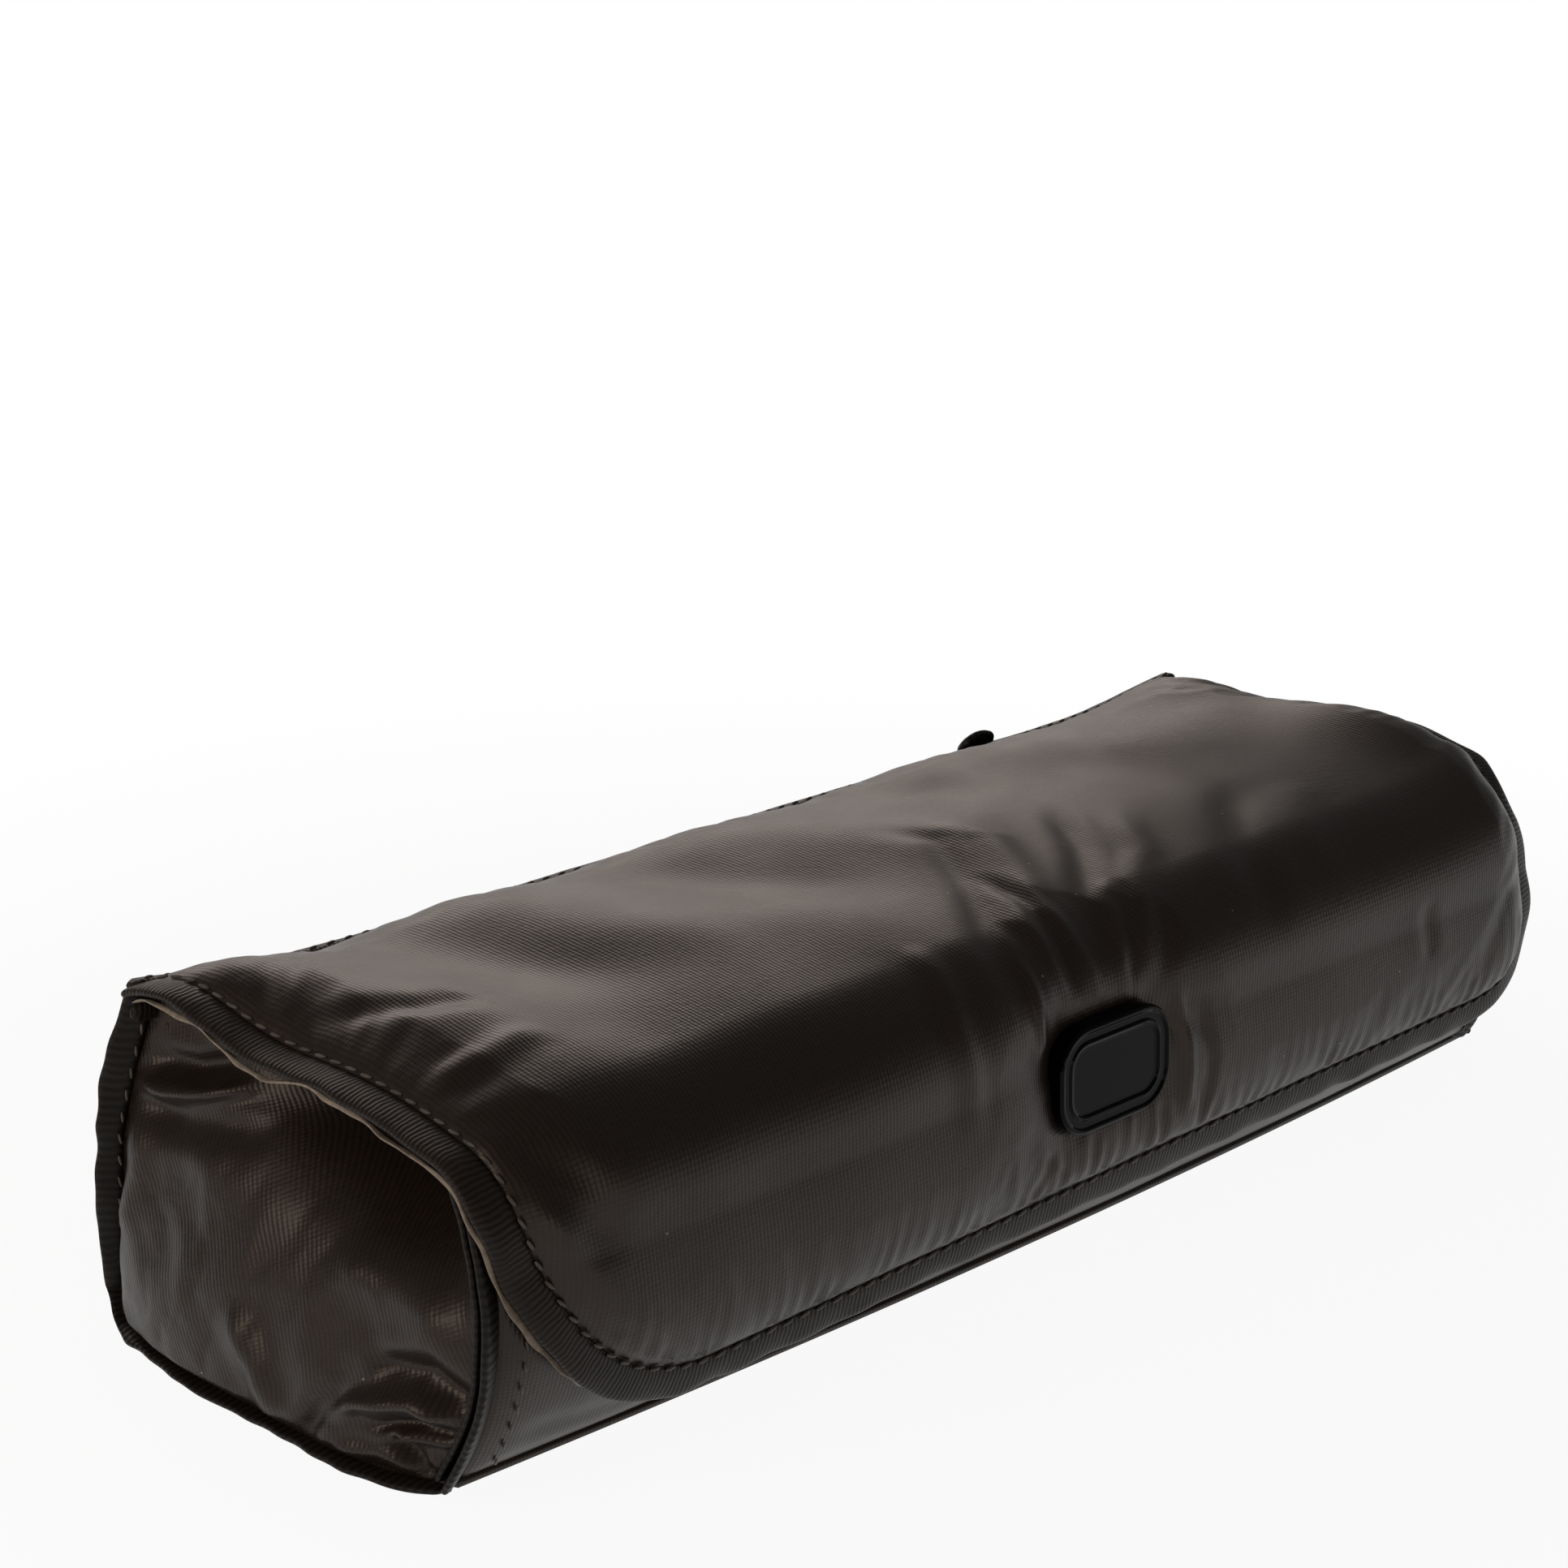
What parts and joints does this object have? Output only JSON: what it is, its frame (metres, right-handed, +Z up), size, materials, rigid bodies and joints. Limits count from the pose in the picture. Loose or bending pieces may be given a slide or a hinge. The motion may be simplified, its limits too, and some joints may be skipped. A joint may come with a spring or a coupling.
{
  "type": "soft padded eyewear case",
  "caption": "Long soft padded box case in dark satin twill, with folded gussets and a wrap-over front flap.",
  "frame": {"origin": "middle of the bounding box at ground level", "axes": "+X along the length, to the right when the flap's front faces the viewer; -Y is the front; +Z is up"},
  "size_m": [0.2, 0.0754, 0.0465],
  "materials": {
    "satin_twill": "black-brown nylon twill with a satin sheen",
    "binding_tape": "ribbed black binding tape with a slight gloss",
    "lining_cloth": "plain brown-grey lining",
    "padding_foam": "thin cream padding foam",
    "board": "stiffening board",
    "nickel_steel": "nickel-plated steel",
    "badge_rubber": "glossy moulded black rubber"
  },
  "bodies": {
    "case": {"bottom_cover": "satin_twill", "bottom_foam": "padding_foam", "bottom_board": "board", "bottom_lining": "lining_cloth", "back_cover": "satin_twill", "back_foam": "padding_foam", "back_lining": "lining_cloth", "left_gusset": "satin_twill", "right_gusset": "satin_twill", "left_gusset_lining": "lining_cloth", "right_gusset_lining": "lining_cloth", "left_end_binding": "binding_tape", "right_end_binding": "binding_tape"},
    "front_wall": {"front_cover": "satin_twill", "front_foam": "padding_foam", "front_lining": "lining_cloth", "mouth_binding": "binding_tape", "front_left_binding": "binding_tape", "front_right_binding": "binding_tape", "front_keepers": "nickel_steel"},
    "flap_top": {"back_seam_roll": "binding_tape", "back_seam_tab": "binding_tape", "flap_top_cover": "satin_twill", "flap_top_foam": "padding_foam", "flap_top_lining": "lining_cloth", "flap_top_left_binding": "binding_tape", "flap_top_right_binding": "binding_tape"},
    "flap_front": {"flap_front_cover": "satin_twill", "flap_front_foam": "padding_foam", "flap_front_lining": "lining_cloth", "flap_edge_binding": "binding_tape", "flap_magnets": "nickel_steel", "badge": "badge_rubber", "badge_studs": "nickel_steel", "badge_backplate": "nickel_steel"}
  },
  "joints": [
    {"name": "flap_lift", "type": "hinge", "parent": "case", "child": "flap_top", "pos_m": [0, 0.03389, 0.043], "axis": [-1, 0, 0], "range_deg": [0, 185]},
    {"name": "flap_unfold", "type": "hinge", "parent": "flap_top", "child": "flap_front", "pos_m": [0, -0.03213, 0.04237], "axis": [-1, 0, 0], "range_deg": [0, 85]},
    {"name": "front_wall_tip", "type": "hinge", "parent": "case", "child": "front_wall", "pos_m": [0, -0.02471, 0.0011], "axis": [1, 0, 0], "range_deg": [0, 12]}
  ],
  "couplings": [
    {"joint": "front_wall_tip", "follows": "flap_lift", "ratio": 0.0648}
  ]
}
